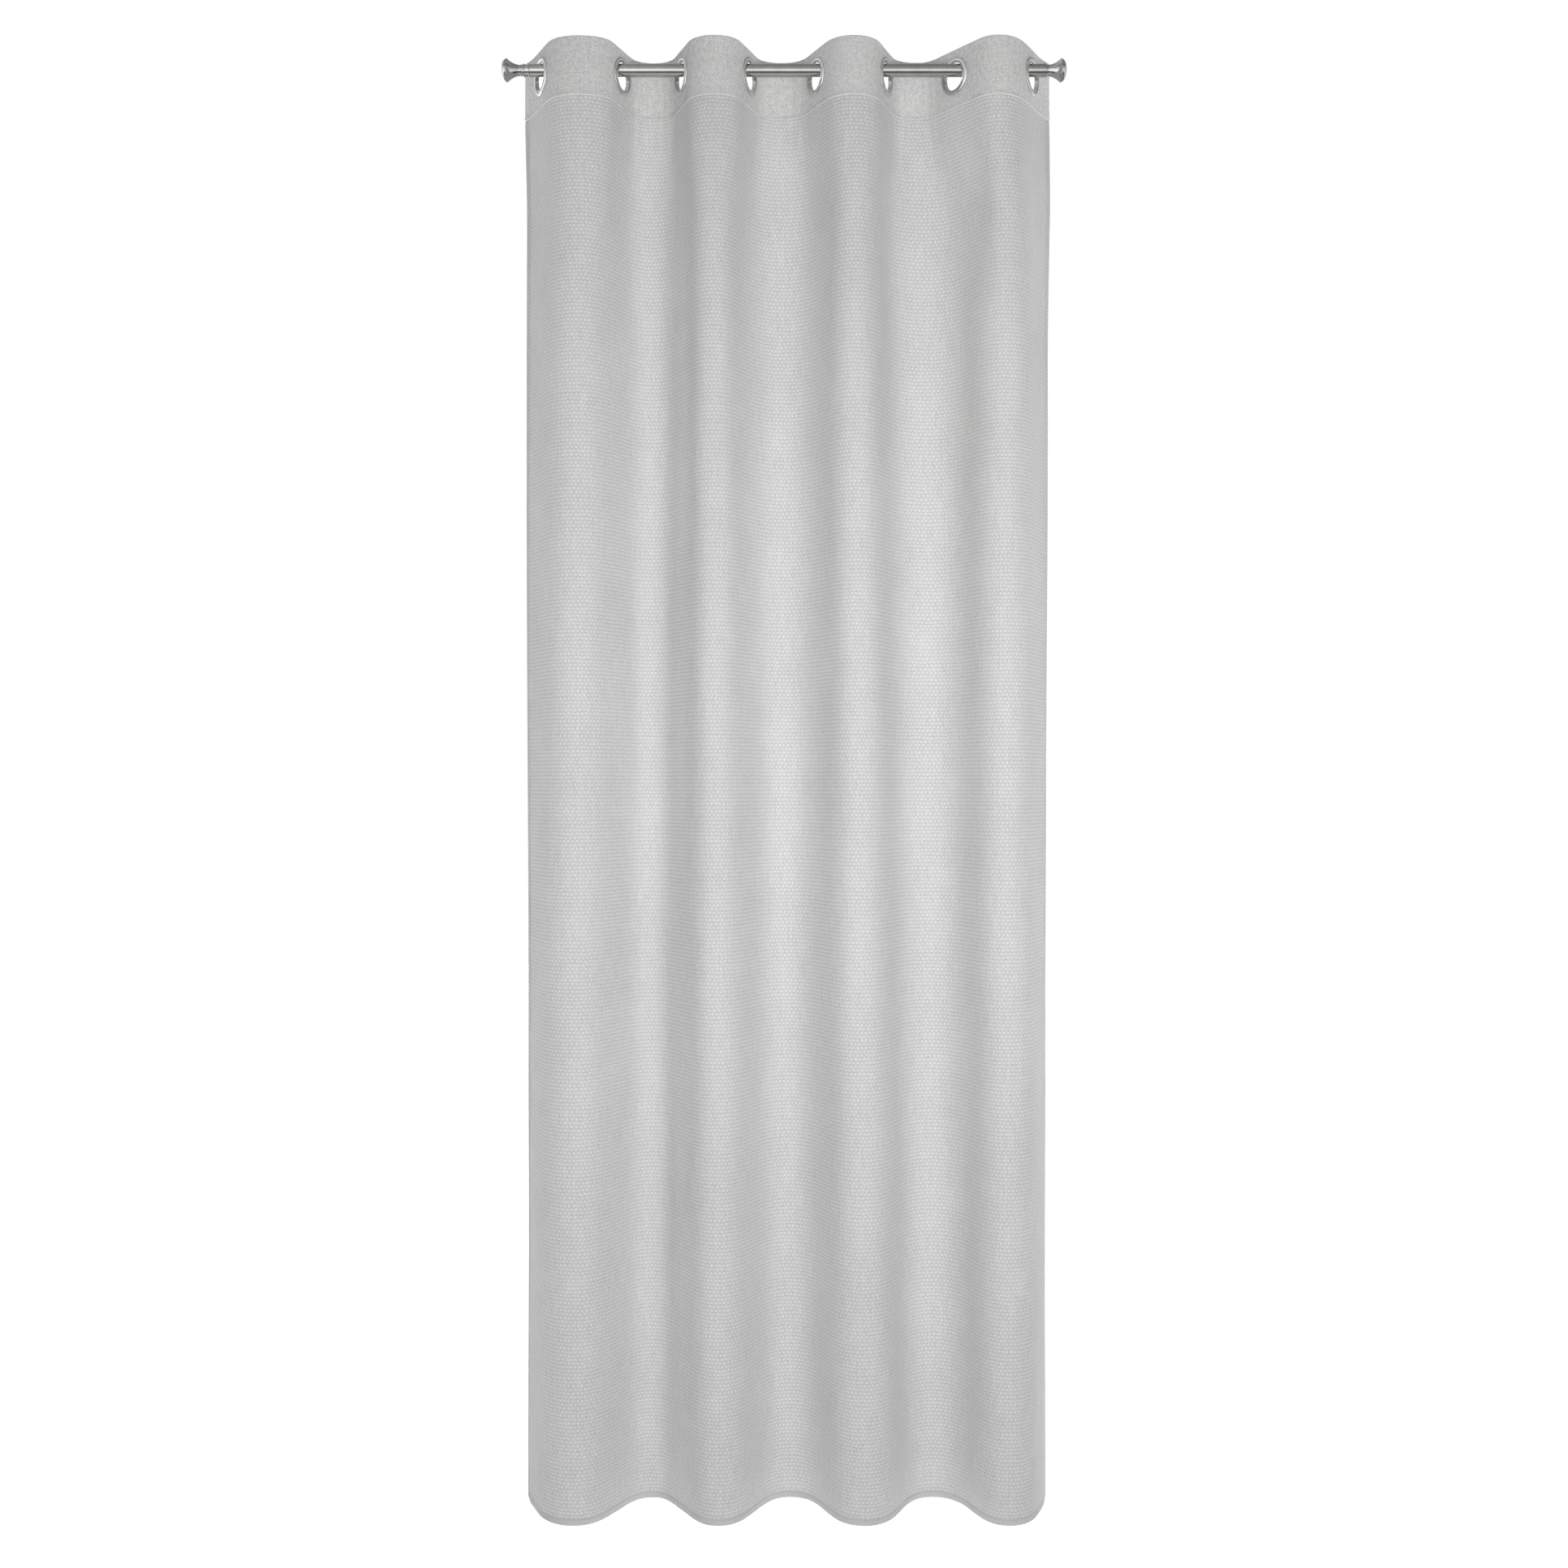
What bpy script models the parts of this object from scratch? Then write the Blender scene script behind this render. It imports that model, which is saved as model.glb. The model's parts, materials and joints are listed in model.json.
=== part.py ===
"""Eyelet curtain panel on its rod, as an accordion of eight rigid leaves.

The rod lies along X with its axis through the origin, the room is on the -Y side and +Z is up.
A leaf is the cloth from one fold's crest to the next, with one eyelet in its middle. Neighbouring
leaves meet at the crests, where they hinge about vertical lines, so the eyelets slide along the rod
as the curtain is drawn to the left.
"""

import math

import bmesh
import bpy
from mathutils import Matrix, Vector

# Rod and finials
ROD_RADIUS = 0.011
ROD_WALL = 0.0012
ROD_HALF_LENGTH = 0.4415
ROD_SIDES = 48
TRUMPET_LENGTH = 0.0262
TRUMPET_NECK_RADIUS = 0.0094
TRUMPET_RIM_RADIUS = 0.0200
CAP_HEIGHT = 0.0080
COLLAR_LENGTH = 0.0134
COLLAR_RADIUS = 0.0100
BEAD_RADIUS = 0.0114
PLUG_LENGTH = 0.0300
PLUG_TAPER = 0.0020
TURNED_SIDES = 32

# Cloth
CLOTH_TOP = 0.035
CLOTH_BOTTOM = -2.465
HEADING_HEIGHT = 0.100
PANEL_THICKNESS = 0.0012
HEADING_LAYER = 0.0008
HEADING_POCKET = 0.0012
STIFFENER_THICKNESS = 0.0006
STIFFENER_HEIGHT = 0.092
MARGIN_LENGTH = 0.070
MARGIN_TURN = math.radians(14)

# Where the eyelets hang on the rod, how steeply the cloth crosses it there, and how far each fold
# reaches from the rod's axis: the first, third, fifth and seventh fold forwards, the others backwards
EYELET_X = (-0.4222, -0.2841, -0.1822, -0.0662, 0.0483, 0.1676, 0.2852, 0.4171)
EYELET_YAW = tuple(math.radians(a) for a in (64, 69, 68, 69, 64, 68, 53, 62))
FOLD_DEPTH = (0.061, 0.057, 0.064, 0.057, 0.063, 0.056, 0.065)

# Eyelets
EYELET_DROP = 0.0107
EYELET_BORE = 0.0230
EYELET_RADIUS = 0.0320
BARREL_WALL = 0.0013
FACE_RING_HEIGHT = 0.0019
BACK_RING_HEIGHT = 0.0015
BACK_RING_RADIUS = 0.0312
BARREL_LIP = 0.0006
EYELET_SIDES = 32

# Sampling and clearances
GAP = 0.0003
FLAT_HALF = EYELET_RADIUS + 0.0015
CURVE_STEPS = 7
MARGIN_STEPS = 4
CURVE_HANDLE = 0.38
CUTTER_HALF_LENGTH = 0.004

HEADING_THICKNESS = 2 * HEADING_LAYER + HEADING_POCKET
HEADING_BOTTOM = CLOTH_TOP - HEADING_HEIGHT
CLOTH_HOLE = EYELET_BORE + BARREL_WALL + GAP
LEAVES = len(EYELET_X)

FABRIC = ("curtain_cloth", (0.62, 0.62, 0.61), 0.95, 0.0)
BAND = ("heading_cloth", (0.60, 0.595, 0.58), 0.92, 0.0)
BUCKRAM = ("stiffener_felt", (0.80, 0.80, 0.78), 0.90, 0.0)
NICKEL = ("eyelet_nickel", (0.58, 0.57, 0.56), 0.32, 1.0)
ROD_STEEL = ("brushed_rod", (0.52, 0.50, 0.48), 0.34, 1.0)
CHROME = ("finial_chrome", (0.56, 0.57, 0.58), 0.15, 1.0)
PLUG_PLASTIC = ("plug_plastic", (0.10, 0.10, 0.10), 0.60, 0.0)


def clear_scene():
    for obj in list(bpy.data.objects):
        bpy.data.objects.remove(obj, do_unlink=True)


def material(spec):
    name, colour, roughness, metallic = spec
    found = bpy.data.materials.get(name)
    if found:
        return found
    made = bpy.data.materials.new(name)
    made.use_nodes = True
    shader = made.node_tree.nodes["Principled BSDF"]
    shader.inputs["Base Color"].default_value = (*colour, 1.0)
    shader.inputs["Roughness"].default_value = roughness
    shader.inputs["Metallic"].default_value = metallic
    made.diffuse_color = (*colour, 1.0)
    return made


def add_empty(name, place, parent=None):
    """An empty at a world position, for the pieces that turn or slide with it."""
    empty = bpy.data.objects.new(name, None)
    empty["world_place"] = place
    empty.parent = parent
    empty.location = place - world_place(parent)
    bpy.context.collection.objects.link(empty)
    return empty


def world_place(parent):
    return Vector(parent["world_place"]) if parent else Vector((0, 0, 0))


def add_object(name, bm, spec, parent=None, place=None, turn=None, smooth=None):
    """Make an object from a bmesh; place is a world position and turn a rotation matrix."""
    bmesh.ops.recalc_face_normals(bm, faces=bm.faces)
    mesh = bpy.data.meshes.new(name)
    bm.to_mesh(mesh)
    bm.free()
    mesh.materials.append(material(spec))
    if smooth is not None:
        mesh.shade_smooth()
        mesh.set_sharp_from_angle(angle=smooth)
    obj = bpy.data.objects.new(name, mesh)
    obj.parent = parent
    obj.location = (place if place is not None else Vector((0, 0, 0))) - world_place(parent)
    if turn is not None:
        obj.rotation_euler = turn.to_euler()
    bpy.context.collection.objects.link(obj)
    return obj


def cut(obj, cutter):
    cutter.hide_render = True
    cutter.display_type = "WIRE"
    boolean = obj.modifiers.new("cut_" + cutter.name, "BOOLEAN")
    boolean.operation = "DIFFERENCE"
    boolean.solver = "EXACT"
    boolean.object = cutter


# The curve of the cloth, seen from above


def bezier(start, start_handle, end_handle, end, steps):
    """Points after the start of a cubic curve, up to and with its end."""
    points = []
    for i in range(1, steps + 1):
        t = i / steps
        s = 1 - t
        points.append(s**3 * start + 3 * s * s * t * start_handle + 3 * s * t * t * end_handle + t**3 * end)
    return points


def leaf_direction(index):
    """The way the cloth runs through an eyelet: odd leaves come forwards and even ones go back."""
    forwards = -1 if index % 2 == 0 else 1
    yaw = EYELET_YAW[index]
    return Vector((math.cos(yaw), forwards * math.sin(yaw)))


def crest(index):
    """The middle of the cloth's thickness at the crest between eyelets index and index + 1."""
    middle = (EYELET_X[index] + EYELET_X[index + 1]) / 2
    side = -1 if index % 2 == 0 else 1
    return Vector((middle, side * FOLD_DEPTH[index]))


def hinge_place(index):
    """The hinge at a crest, on the inner surface of the heading, so that the fold can only close."""
    point = crest(index)
    inwards = -math.copysign(HEADING_THICKNESS / 2, point.y)
    return Vector((point.x, point.y + inwards, 0))


def half_fold(eyelet, way, crest_point):
    """From the flat by an eyelet out to a crest; way is the cloth's direction as it leaves."""
    start = eyelet + FLAT_HALF * way
    along = Vector((math.copysign(1, crest_point.x - eyelet.x), 0))
    handle = CURVE_HANDLE * (crest_point - start).length
    curve = bezier(start, start + handle * way, crest_point - handle * along, crest_point, CURVE_STEPS)
    return [start] + curve


def margin(eyelet, way, bend):
    """From the flat by an end eyelet to the curtain's side edge, bending slightly outwards."""
    point = eyelet + FLAT_HALF * way
    points = [point]
    step = (MARGIN_LENGTH - FLAT_HALF) / MARGIN_STEPS
    turn = Matrix.Rotation(bend * MARGIN_TURN / MARGIN_STEPS, 2)
    for _ in range(MARGIN_STEPS):
        way = turn @ way
        point = point + step * way
        points.append(point)
    return points


def leaf_curve(index):
    """The middle of a leaf's thickness, from left to right, stopping half a gap from each crest."""
    eyelet = Vector((EYELET_X[index], 0))
    way = leaf_direction(index)
    if index == 0:
        left = margin(eyelet, -way, 1)
    else:
        left = half_fold(eyelet, -way, crest(index - 1) + Vector((GAP / 2, 0)))
    if index == LEAVES - 1:
        right = margin(eyelet, way, -1)
    else:
        right = half_fold(eyelet, way, crest(index) - Vector((GAP / 2, 0)))
    return left[::-1] + right


def normals(points):
    """The face side's direction at each point: 90 degrees clockwise from the way the curve runs."""
    found = []
    last = len(points) - 1
    for i in range(last + 1):
        run = points[min(i + 1, last)] - points[max(i - 1, 0)]
        if i in (0, last) and abs(run.y) < abs(run.x) * 0.5:
            run = Vector((run.x, 0))
        run.normalize()
        found.append(Vector((run.y, -run.x)))
    return found


def sweep(points, section, caps):
    """Carry a section of (offset, height) points along a curve; caps lists the faces of its ends."""
    bm = bmesh.new()
    rings = []
    for point, side in zip(points, normals(points)):
        ring = []
        for offset, height in section:
            flat = point + offset * side
            ring.append(bm.verts.new((flat.x, flat.y, height)))
        rings.append(ring)
    count = len(section)
    for near, far in zip(rings, rings[1:]):
        for i in range(count):
            j = (i + 1) % count
            bm.faces.new((near[i], near[j], far[j], far[i]))
    for cap in caps:
        bm.faces.new([rings[0][i] for i in cap])
        bm.faces.new([rings[-1][i] for i in reversed(cap)])
    return bm


def strip(points, thickness, low, high):
    """A wall of even thickness that follows a curve, between two heights."""
    half = thickness / 2
    section = [(half, low), (half, high), (-half, high), (-half, low)]
    return sweep(points, section, [(0, 1, 2, 3)])


def doubled_strip(points, low, high):
    """Cloth folded over along its top edge, with an open pocket between its two layers."""
    outer = HEADING_THICKNESS / 2
    inner = HEADING_POCKET / 2
    fold = high - HEADING_LAYER
    section = [
        (outer, low),
        (outer, high),
        (-outer, high),
        (-outer, low),
        (-inner, low),
        (-inner, fold),
        (inner, fold),
        (inner, low),
    ]
    return sweep(points, section, [(0, 1, 6, 7), (1, 2, 5, 6), (2, 3, 4, 5)])


def shifted(points, origin):
    return [p - Vector((origin.x, origin.y)) for p in points]


# Turned pieces


def turned(profile, sides):
    """Spin a closed outline of (radius, height) points about Z."""
    bm = bmesh.new()
    rings = []
    for i in range(sides):
        angle = 2 * math.pi * i / sides
        rings.append([bm.verts.new((r * math.cos(angle), r * math.sin(angle), h)) for r, h in profile])
    count = len(profile)
    for i in range(sides):
        near = rings[i]
        far = rings[(i + 1) % sides]
        for a in range(count):
            b = (a + 1) % count
            bm.faces.new((near[a], near[b], far[b], far[a]))
    return bm


def turned_solid(profile, sides):
    """Spin an open outline whose first and last points are on the axis."""
    bm = bmesh.new()
    bottom = bm.verts.new((0, 0, profile[0][1]))
    top = bm.verts.new((0, 0, profile[-1][1]))
    rings = []
    for i in range(sides):
        angle = 2 * math.pi * i / sides
        rings.append([bm.verts.new((r * math.cos(angle), r * math.sin(angle), h)) for r, h in profile[1:-1]])
    for i in range(sides):
        near = rings[i]
        far = rings[(i + 1) % sides]
        bm.faces.new((bottom, far[0], near[0]))
        bm.faces.new((top, near[-1], far[-1]))
        for a in range(len(near) - 1):
            bm.faces.new((near[a], far[a], far[a + 1], near[a + 1]))
    return bm


def cylinder(radius, half_length, sides):
    return turned_solid([(0, -half_length), (radius, -half_length), (radius, half_length), (0, half_length)], sides)


def arc_points(centre, radius, start, end, steps):
    """Points along an arc, angles in degrees, as (radius, height) pairs."""
    points = []
    for i in range(steps + 1):
        angle = math.radians(start + (end - start) * i / steps)
        points.append((centre[0] + radius[0] * math.cos(angle), centre[1] + radius[1] * math.sin(angle)))
    return points


def face_ring_profile():
    """The flange stands on the cloth's face and the barrel goes back through the hole."""
    seat = HEADING_THICKNESS / 2 + GAP
    barrel_end = -(seat + BACK_RING_HEIGHT + BARREL_LIP)
    middle = (EYELET_BORE + EYELET_RADIUS) / 2
    half = (EYELET_RADIUS - EYELET_BORE) / 2
    dome = arc_points((middle, seat), (half, FACE_RING_HEIGHT), 0, 180, 6)
    barrel = EYELET_BORE + BARREL_WALL
    return dome + [(EYELET_BORE, barrel_end), (barrel, barrel_end), (barrel, seat)]


def back_ring_profile():
    """A washer with a rounded back that sits round the barrel behind the cloth."""
    seat = -(HEADING_THICKNESS / 2 + GAP)
    inner = CLOTH_HOLE
    middle = (inner + BACK_RING_RADIUS) / 2
    half = (BACK_RING_RADIUS - inner) / 2
    return arc_points((middle, seat), (half, BACK_RING_HEIGHT), 180, 360, 6)


def trumpet_profile():
    """A concave flare from the neck to the rim, solid, with flat ends."""
    points = [(0, 0), (TRUMPET_NECK_RADIUS, 0)]
    steps = 8
    edge = 0.0016
    flare = TRUMPET_LENGTH - edge
    for i in range(1, steps + 1):
        t = i / steps
        radius = TRUMPET_NECK_RADIUS + (TRUMPET_RIM_RADIUS - TRUMPET_NECK_RADIUS) * t**2.1
        points.append((radius, flare * t))
    points.append((TRUMPET_RIM_RADIUS, TRUMPET_LENGTH))
    points.append((0, TRUMPET_LENGTH))
    return points


def cap_profile():
    """A shallow step and a dome on top of it."""
    step = 0.0012
    dome_radius = TRUMPET_RIM_RADIUS * 0.93
    dome = arc_points((0, step), (dome_radius, CAP_HEIGHT - step), 0, 90, 7)
    return [(0, 0), (TRUMPET_RIM_RADIUS * 0.96, 0), (TRUMPET_RIM_RADIUS * 0.96, step)] + dome


def collar_profile():
    """A short sleeve with a raised bead near its outer end and a flange against the rod."""
    bead = arc_points((COLLAR_RADIUS, 0.0100), (BEAD_RADIUS - COLLAR_RADIUS, 0.0015), -90, 90, 5)
    flange = [(0, 0), (0.0107, 0), (0.0107, 0.0012), (COLLAR_RADIUS, 0.0018)]
    neck = [(TRUMPET_NECK_RADIUS, 0.0120), (TRUMPET_NECK_RADIUS, COLLAR_LENGTH), (0, COLLAR_LENGTH)]
    return flange + bead + neck


def plug_profile():
    """A round peg with a tapered end, as wide as the tube's bore less a gap."""
    radius = ROD_RADIUS - ROD_WALL - GAP
    return [
        (0, 0),
        (radius, 0),
        (radius, PLUG_LENGTH - PLUG_TAPER),
        (radius - PLUG_TAPER / 2, PLUG_LENGTH),
        (0, PLUG_LENGTH),
    ]


# The parts


def make_rod():
    """A tube with one of its flats at the very bottom, where brackets carry it."""
    inner = ROD_RADIUS - ROD_WALL
    outline = [
        (ROD_RADIUS, -ROD_HALF_LENGTH),
        (ROD_RADIUS, ROD_HALF_LENGTH),
        (inner, ROD_HALF_LENGTH),
        (inner, -ROD_HALF_LENGTH),
    ]
    half_side = Matrix.Rotation(math.pi / ROD_SIDES, 3, "X")
    turn = half_side @ Matrix.Rotation(math.pi / 2, 3, "Y")
    add_object("rod_tube", turned(outline, ROD_SIDES), ROD_STEEL, turn=turn, smooth=math.radians(40))


def make_finial(side_name, side, with_collar):
    """A finial on one end of the rod; side is -1 for the left end and 1 for the right."""
    outwards = Matrix.Rotation(side * math.pi / 2, 3, "Y")
    inwards = Matrix.Rotation(-side * math.pi / 2, 3, "Y")
    slide = add_empty(f"finial_{side_name}_slide", Vector((side * ROD_HALF_LENGTH, 0, 0)))
    smooth = math.radians(35)
    reach = GAP
    if with_collar:
        add_object(
            f"finial_collar_{side_name}", turned_solid(collar_profile(), TURNED_SIDES), CHROME,
            slide, Vector((side * (ROD_HALF_LENGTH + reach), 0, 0)), outwards, smooth,
        )
        reach += COLLAR_LENGTH + GAP
    add_object(
        f"finial_trumpet_{side_name}", turned_solid(trumpet_profile(), TURNED_SIDES), CHROME,
        slide, Vector((side * (ROD_HALF_LENGTH + reach), 0, 0)), outwards, smooth,
    )
    reach += TRUMPET_LENGTH + GAP
    add_object(
        f"finial_cap_{side_name}", turned_solid(cap_profile(), TURNED_SIDES), CHROME,
        slide, Vector((side * (ROD_HALF_LENGTH + reach), 0, 0)), outwards, smooth,
    )
    add_object(
        f"finial_plug_{side_name}", turned_solid(plug_profile(), TURNED_SIDES), PLUG_PLASTIC,
        slide, Vector((side * ROD_HALF_LENGTH, 0, 0)), inwards, smooth,
    )


def make_leaf(index, carrier):
    """The cloth, heading, stiffener and eyelet between two crests, on their hinge's empty."""
    number = index + 1
    hinge = world_place(carrier)
    curve = shifted(leaf_curve(index), hinge)
    place = hinge
    centre = Vector((EYELET_X[index], 0, -EYELET_DROP))
    way = leaf_direction(index)
    ring_turn = Matrix.Rotation(math.atan2(way.y, way.x), 3, "Z") @ Matrix.Rotation(math.pi / 2, 3, "X")

    add_object(
        f"cloth_panel_{number}",
        strip(curve, PANEL_THICKNESS, CLOTH_BOTTOM, HEADING_BOTTOM - GAP),
        FABRIC, carrier, place, smooth=math.radians(30),
    )
    band = add_object(
        f"heading_band_{number}",
        doubled_strip(curve, HEADING_BOTTOM, CLOTH_TOP),
        BAND, carrier, place,
    )
    stiffener_top = CLOTH_TOP - HEADING_LAYER - GAP
    stiffener = add_object(
        f"heading_stiffener_{number}",
        strip(curve, STIFFENER_THICKNESS, stiffener_top - STIFFENER_HEIGHT, stiffener_top),
        BUCKRAM, carrier, place,
    )
    hole = add_object(
        f"hole_cutter_{number}", cylinder(CLOTH_HOLE, CUTTER_HALF_LENGTH, EYELET_SIDES),
        BAND, carrier, centre, ring_turn,
    )
    cut(band, hole)
    cut(stiffener, hole)
    add_object(
        f"eyelet_face_{number}", turned(face_ring_profile(), EYELET_SIDES),
        NICKEL, carrier, centre, ring_turn, math.radians(35),
    )
    add_object(
        f"eyelet_back_{number}", turned(back_ring_profile(), EYELET_SIDES),
        NICKEL, carrier, centre, ring_turn, math.radians(35),
    )


def main():
    clear_scene()
    make_rod()
    make_finial("left", -1, with_collar=True)
    make_finial("right", 1, with_collar=False)
    carrier = None
    for index in range(LEAVES):
        place = hinge_place(index - 1) if index else Vector((EYELET_X[0], 0, 0))
        carrier = add_empty(f"leaf_{index + 1}_hinge", place, carrier)
        make_leaf(index, carrier)


main()
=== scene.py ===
"""The looks of an eyelet curtain panel on its rod: gathered cloth, hems, stitching, metal and light."""

import json
import math

import bpy
import numpy as np
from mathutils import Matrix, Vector, noise


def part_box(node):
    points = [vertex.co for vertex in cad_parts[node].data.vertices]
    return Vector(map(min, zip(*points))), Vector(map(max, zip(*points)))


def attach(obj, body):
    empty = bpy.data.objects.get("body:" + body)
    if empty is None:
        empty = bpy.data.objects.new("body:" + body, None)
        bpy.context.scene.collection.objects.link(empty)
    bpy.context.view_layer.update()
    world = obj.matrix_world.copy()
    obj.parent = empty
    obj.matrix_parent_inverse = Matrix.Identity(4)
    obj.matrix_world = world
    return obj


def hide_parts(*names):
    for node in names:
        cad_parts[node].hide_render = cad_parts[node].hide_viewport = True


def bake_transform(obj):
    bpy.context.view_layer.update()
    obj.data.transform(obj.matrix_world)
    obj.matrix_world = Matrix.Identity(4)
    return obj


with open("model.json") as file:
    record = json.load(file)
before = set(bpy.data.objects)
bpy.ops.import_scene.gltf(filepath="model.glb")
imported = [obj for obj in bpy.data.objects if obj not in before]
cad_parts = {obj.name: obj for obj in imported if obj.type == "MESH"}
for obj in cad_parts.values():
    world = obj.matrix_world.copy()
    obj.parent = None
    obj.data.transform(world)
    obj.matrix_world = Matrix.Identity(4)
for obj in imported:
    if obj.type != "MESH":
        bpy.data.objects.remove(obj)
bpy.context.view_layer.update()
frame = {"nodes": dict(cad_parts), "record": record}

# Everything below is in metres and degrees, in the frame of the CAD model.

# Cloth
EYELET_PITCH = 0.180
MARGIN = 0.070
PANEL_THICKNESS = 0.0012
HEADING_THICKNESS = 0.0026
HEM_THICKNESS = 0.0030
HEM_HEIGHT = 0.012
SIDE_HEM_WIDTH = 0.011
TUCK = 0.006
WELT_RISE = 0.0007
WELT_HEIGHT = 0.011
# How much paler the heading's lower edges are painted: a painted highlight for the light on the raised
# welt
WELT_PAINTED_HIGHLIGHT = 0.30

# How the cloth runs through the eyelets, and what it has relaxed to at the hem.
# Turns and yaws are in degrees; drifts are how far each eyelet's place has moved in X lower down.
FLAT_HALF = 0.0335
LOWER_FLAT_HALF = 0.010
LOWER_YAW = (66, 61, 60, 63, 65, 66, 67, 70)
LOWER_FRONT_DEPTH = 0.0615
LOWER_BACK_DEPTH = 0.0610
CURVE_HANDLE = 0.38
MARGIN_TURN = 14
LOWER_MARGIN_TURN = -10
UPPER_DRIFT = (0.003, -0.007, 0.002, -0.008, 0.010, -0.004, 0.024, 0.004)
LOWER_DRIFT = (-0.011, -0.003, 0.001, 0.018, 0.006, 0.028, 0.006, 0.009)
RELAX_START = -0.045
UPPER_RELAX = 0.20
YAW_RELAX = 0.45
MARGIN_RELAX = 2.4

# Small folds and slack in the cloth: how far each stands out, and where it starts and fades
SLACK = 0.0016
FINE_SLACK = 0.0007
TUCKS = 0.0010
TUCK_RATE = 330
TUCKS_TOP = 0.03
TUCKS_FADE_IN = 0.04
TUCKS_LOW = -0.06
TUCKS_FADE_OUT = 0.16
PUCKER = 0.0006
PUCKER_REACH = 0.10
PUCKER_FADE = 0.08
EYELET_STIFF_RADIUS = 0.034
EYELET_STIFF_FADE = 0.030

# Finished edges: how far in the first rows stand, and how a lip sinks onto the single cloth
EDGE_EASE = 0.001
SEAM_ROW = 0.0017
LIP_REACH = 0.0004
LIP_OFFSET = PANEL_THICKNESS / 2 - 0.0001
HEADING_LIP = 0.9
HEM_LIP = 0.75
HEM_FACE_ROWS = 4

# Mesh resolution
CURVE_STEPS = 24
MARGIN_STEPS = 8
HALF_COLUMNS = 21
MARGIN_COLUMNS = 17
PANEL_ROWS = 268
SIDE_HEM_ROW = 0.009
HEADING_ROW = 0.004
EDGE_STEPS = 6

# Stitching
STITCH_LENGTH = 0.0032
STITCH_PITCH = 0.0046
STITCH_RADIUS = 0.00028
STITCH_SIDES = 6
# Share of the stitch's length and share of its full thickness
STITCH_SHAPE = ((0.0, 0.25), (0.18, 0.9), (0.5, 1.0), (0.82, 0.9), (1.0, 0.25))
STITCH_SINK = 0.35
HEM_STITCH_INSET = 0.0022
HEADING_STITCH_INSET = 0.0035
STITCH_END_GAP = 0.004
OUT_PROBE = 0.001

# Metal
EYELET_HOLE = 0.0275
FINIAL_NECK = 0.0094
TUBE_WALL = 0.0012
SHARP_ANGLE = 42
WELD_DISTANCE = 0.00001
RING_SIDES = 96
ROD_SIDES = 96
FINIAL_SIDES = 96


def smooth(t):
    t = min(1.0, max(0.0, t))
    return t * t * (3 - 2 * t)


def mix(a, b, t):
    return a + (b - a) * t


# Places, read from the frame

JOINTS = {joint["name"]: joint for joint in frame["record"]["behaviour"]["joints"]}
FOLDS = sum(name.startswith("fold_") for name in JOINTS)
EYELETS = FOLDS + 1
HINGES = [Vector(JOINTS[f"fold_{k + 1}"]["pos_m"]) for k in range(FOLDS)]


def eyelet_places():
    """Each hinge is midway between its two eyelets, so they follow from the first one."""
    found = [JOINTS["gather"]["pos_m"][0]]
    for hinge in HINGES:
        found.append(2 * hinge.x - found[-1])
    return found


def node_vertices(name):
    return np.array([v.co for v in frame["nodes"][name].data.vertices], float)


def ring_yaw(name):
    """The angle between a ring's plane and the rod, from the thinnest direction of its mesh."""
    flat = node_vertices(name)[:, :2]
    flat = flat - flat.mean(axis=0)
    axis = np.linalg.eigh(flat.T @ flat)[1][:, 0]
    return 90 - math.degrees(math.atan2(abs(axis[1]), abs(axis[0])))


EYELET_X = eyelet_places()
EYELET_YAW = [ring_yaw(f"eyelet_face_{k + 1}") for k in range(EYELETS)]
RING_LOW, RING_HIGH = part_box("eyelet_face_1")
RING_Z = (RING_LOW[2] + RING_HIGH[2]) / 2
HEADING_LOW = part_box("heading_band_1")[0][2]
CLOTH_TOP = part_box("heading_band_1")[1][2]
CLOTH_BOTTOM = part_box("cloth_panel_1")[0][2]
ROD_LOW, ROD_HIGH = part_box("rod_tube")
ROD_RADIUS = (ROD_HIGH[2] - ROD_LOW[2]) / 2
FOLD_DEPTH = [abs(hinge.y) + HEADING_THICKNESS / 2 for hinge in HINGES]


# The cloth's curve at one height, seen from above


def forwards(k):
    """-1 where the cloth comes forwards through eyelet k as it runs to the right, otherwise 1."""
    return -1 if k % 2 == 0 else 1


def bezier(p0, p1, p2, p3, steps):
    t = np.linspace(0, 1, steps + 1)[1:, None]
    s = 1 - t
    return s**3 * p0 + 3 * s * s * t * p1 + 3 * s * t * t * p2 + t**3 * p3


def evenly(points, steps):
    """The same line with its points moved along it to equal distances."""
    run = np.concatenate([[0], np.cumsum(np.linalg.norm(np.diff(points, axis=0), axis=1))])
    marks = np.linspace(0, run[-1], steps + 1)
    return np.stack([np.interp(marks, run, points[:, 0]), np.interp(marks, run, points[:, 1])], axis=1)


def half_fold(centre, way, flat, crest):
    """From an eyelet's centre line out to a crest, the crest included."""
    start = centre + flat * way
    along = np.array([math.copysign(1, crest[0] - centre[0]), 0.0])
    handle = CURVE_HANDLE * np.linalg.norm(crest - start)
    curve = bezier(start, start + handle * way, crest - handle * along, crest, CURVE_STEPS)
    return evenly(np.vstack([centre, start, curve]), HALF_COLUMNS)


def margin(centre, way, flat, turned_by):
    """From an end eyelet's centre line to the side edge, turning by so many degrees on the way."""
    step = (MARGIN - flat) / MARGIN_STEPS
    turn = math.radians(turned_by / MARGIN_STEPS)
    rotation = np.array([[math.cos(turn), -math.sin(turn)], [math.sin(turn), math.cos(turn)]])
    points = [centre, centre + flat * way]
    for _ in range(MARGIN_STEPS):
        way = rotation @ way
        points.append(points[-1] + step * way)
    return evenly(np.array(points), MARGIN_COLUMNS)


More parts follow.
